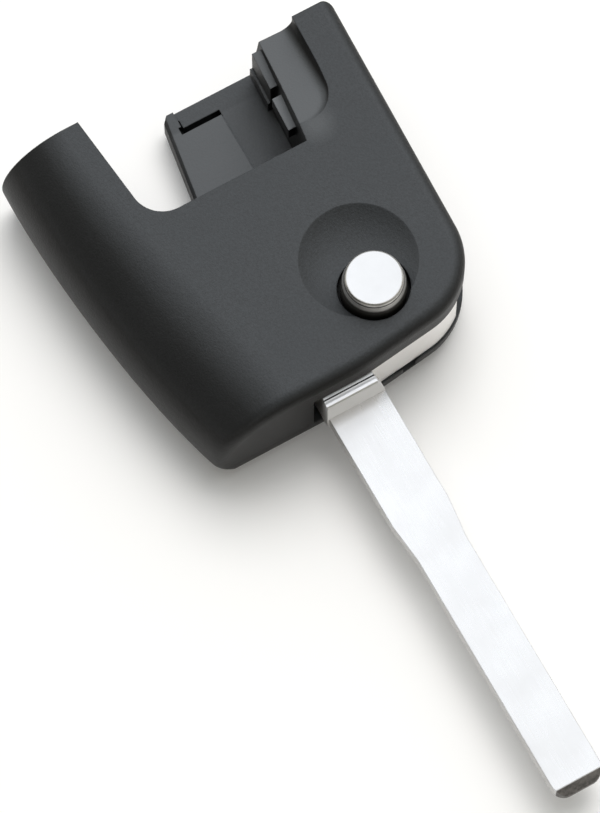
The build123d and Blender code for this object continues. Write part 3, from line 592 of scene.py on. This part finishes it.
plastic_nodes = {
    "upper_bush": ("upper_bush_acetal", 0.66, 0.05, 0.42, 0.0005, 0.00001),
    "lower_bush": ("lower_bush_acetal", 0.66, 0.05, 0.42, 0.0005, 0.00001),
    "button_plunger": ("plunger_plastic", 0.05, 0.0, 0.48, 0.0003, 0.00002),
    "chip_holder": ("holder_plastic", 0.06, 0.0, 0.52, 0.0003, 0.00002),
    "coded_chip": ("chip_epoxy", 0.025, -0.02, 0.25, 0.0006, 0.00001),
    "chip_pad": ("pad_foam", 0.07, 0.0, 0.85, 0.0004, 0.00012),
    "blade_buffer": ("buffer_rubber", 0.035, 0.0, 0.75, 0.0003, 0.00005),
}
for name, finish in plastic_nodes.items():
    put_on(name, plain_plastic(*finish))
print("plastics on", list(plastic_nodes))

# %% [markdown]
# ## Table
# A product picture like this one is taken on white paper, so the floor is a plain pale
# sheet that keeps the key's soft shadow. For all rays but the camera's, the paper ends
# close to the key, and the dark beyond its edge makes the rounded side of the shell fall
# off to black. The camera itself sees pale paper everywhere.

# %% Floor
floor_size = 6.0
gap_under_key = 0.00001
paper_edge = (0.06, 0.16)
paper_white = (0.903, 0.90, 0.895, 1)
room_dark = (0.05, 0.05, 0.05, 1)
glow_seen, glow_mirrored = 0.08, 0.05

bpy.ops.object.select_all(action="DESELECT")
bpy.ops.mesh.primitive_grid_add(
    x_subdivisions=8, y_subdivisions=8, size=floor_size, location=(0, 0, 0)
)
floor = bpy.context.object
floor.name = "table_top"
floor.location.z = model_box[0][2] - gap_under_key
bpy.ops.object.transform_apply(location=True, rotation=True, scale=True)


def white_paper():
    material, ground = start_finish("white_paper")
    seen = ground.node("ShaderNodeLightPath", output="Is Camera Ray")
    mirrored = ground.node("ShaderNodeLightPath", output="Is Glossy Ray")
    from_middle = ground.vector("LENGTH", {0: ground}, output=1)
    on_paper = 1.0 - from_middle.clamped(*paper_edge)
    tone = blend_colours(ground, on_paper.larger(seen), room_dark, paper_white)
    glow = seen * glow_seen + mirrored * on_paper * glow_mirrored
    matte = ground.node("ShaderNodeBsdfDiffuse", {}, {"Color": tone})
    light = {"Color": (1, 1, 1, 1), "Strength": glow}
    shining = ground.node("ShaderNodeEmission", {}, light)
    show(ground.node("ShaderNodeAddShader", {}, {0: matte, 1: shining}))
    return material


floor.data.materials.append(white_paper())
print("floor just below", model_box[0][2], "m")

# %% [markdown]
# ## Surroundings
# The world stands for what is hung round the key. A broad sheet, lit from behind, is
# white above and behind it, a duller one fills in from the blade's right, and two small
# cards stand at the left, which only low views mirror. The rest of the room is nearly
# dark and a little warm. The camera itself sees plain white.

# %% World
room_level, room_colour = 0.08, (1.0, 0.97, 0.86, 1.0)
sheet_level, sheet_colour = 1.31, (0.95, 0.985, 1.03, 1.0)
sheet_middle, sheet_edge = (0.28, 0.49, 0.82), (0.55, 0.88)
# Where each duller sheet hangs, how its edge fades, and how strongly it is lit.
duller_sheets = (
    ((0.78, -0.50, 0.36), (0.2, 0.9), 0.28),
    ((-0.64, 0.72, 0.27), (0.90, 0.97), 0.42),
    ((-0.66, -0.70, 0.27), (0.90, 0.97), 0.28),
)


def hung_sheet(direction, middle, edge):
    """1 towards the middle of a sheet, and 0 beyond its soft edge."""
    return dot(direction, direction, Vector(middle).normalized()).clamped(*edge)


def white_room():
    world = bpy.data.worlds.new("white_room")
    direction = start_tree(world).node("ShaderNodeTexCoord", output="Generated")
    seen = direction.node("ShaderNodeLightPath", output="Is Camera Ray")
    sheet = hung_sheet(direction, sheet_middle, sheet_edge)
    strength = room_level + sheet * sheet_level
    for middle, edge, level in duller_sheets:
        fill = hung_sheet(direction, middle, edge) * level
        strength = strength + fill * (1.0 - sheet)
    light = {
        "Color": blend_colours(direction, sheet, room_colour, sheet_colour),
        "Strength": strength * (1.0 - seen) + seen,
    }
    sky = direction.node("ShaderNodeBackground", {}, light)
    show(sky, "ShaderNodeOutputWorld")
    return world


bpy.context.scene.world = white_room()
print("world made, with", 1 + len(duller_sheets), "sheets")

# %% [markdown]
# ## Studio lamp
# The main light in the photograph comes from high above the open end of the key, so the
# shadow is short and lies towards the blade and the near left. One large soft lamp there
# gives the shadow its direction. Polished metal would mirror it as a glaring patch, so
# the lamp is left out of mirrored rays, and the metal shows the white sheet alone.

# %% Lamp
lamp_place = Vector((0.27, 0.32, 0.79))
lamp_target = Vector((-0.008, -0.01, 0.007))
lamp_side = 0.60
lamp_power = 4.5

lamp = bpy.data.lights.new("key_lamp", "AREA")
lamp.color = (1.0, 0.97, 0.93)
lamp.shape = "RECTANGLE"
lamp.size = lamp.size_y = lamp_side
lamp.energy = lamp_power
holder = bpy.data.objects.new("key_lamp", lamp)
bpy.context.collection.objects.link(holder)
holder.location = lamp_place
holder.rotation_euler = (lamp_target - lamp_place).to_track_quat("-Z", "Y").to_euler()
holder.visible_glossy = False
print("lamp of", lamp_power, "W made")

# %% [markdown]
# ## Camera
# The picture is taken from 600 mm away, high above the blade's side of the key and a
# little turned, with a long lens. The lens follows from how many pixels of the picture
# a millimetre takes at that distance.

# %% Camera
camera_place = Vector((-0.103493, -0.169249, 0.566368))
camera_target = Vector((-0.010613, -0.003060, -0.002626))
sensor_height = 36.0
pixels_per_millimetre = 9.30
distance_in_millimetres = 600
picture_height = 813

lens = bpy.data.cameras.new("camera")
lens.sensor_fit = "VERTICAL"
lens.sensor_height = sensor_height
sensor_per_millimetre = sensor_height * pixels_per_millimetre / picture_height
lens.lens = sensor_per_millimetre * distance_in_millimetres
lens.clip_start = 0.01
camera = bpy.data.objects.new("camera", lens)
bpy.context.collection.objects.link(camera)
camera.location = camera_place
turn = (camera_target - camera_place).to_track_quat("-Z", "Y")
camera.rotation_euler = turn.to_euler()
bpy.context.scene.camera = camera
bpy.context.scene.view_settings.view_transform = "Standard"
print("camera lens", round(lens.lens, 1))

# %% End of the scene
print("scene ready")
